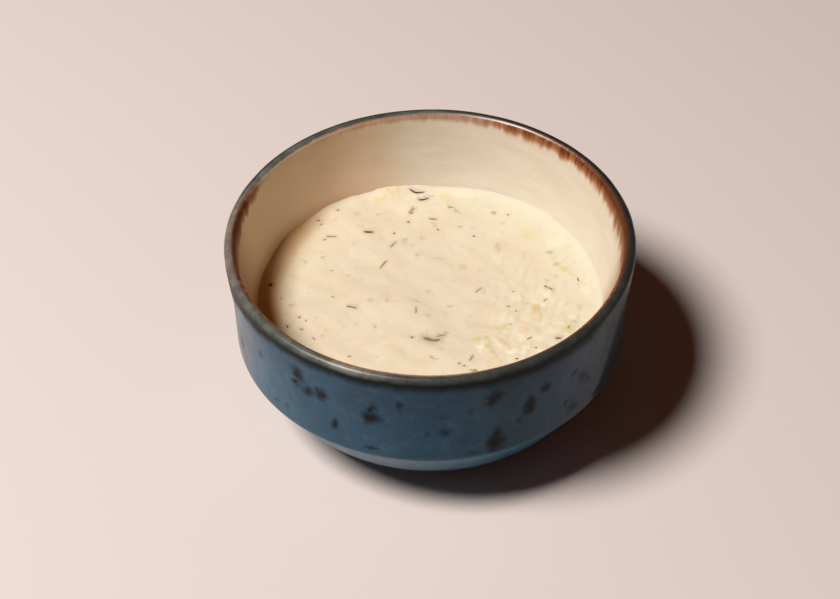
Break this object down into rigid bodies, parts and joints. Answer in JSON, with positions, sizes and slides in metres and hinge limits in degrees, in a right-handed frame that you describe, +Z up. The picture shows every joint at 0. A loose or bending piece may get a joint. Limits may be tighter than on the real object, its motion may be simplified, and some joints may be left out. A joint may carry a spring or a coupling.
{
  "type": "tartar sauce",
  "caption": "Tartar sauce with chopped dill and pickle, filling a round blue-glazed stoneware dip bowl a little over half way.",
  "frame": {"origin": "centre of the foot ring, on the plane the bowl stands on", "axes": "+Z up through the middle of the bowl; the picture was taken from the -Y side, with +X to its right"},
  "size_m": [0.1006, 0.1006, 0.0492],
  "materials": {
    "glaze": "semi-gloss blue stoneware glaze with brown speckles, cream inside",
    "sauce": "thick cream sauce, soft sheen"
  },
  "bodies": {
    "root": {"bowl": "glaze", "sauce": "sauce"}
  },
  "joints": []
}
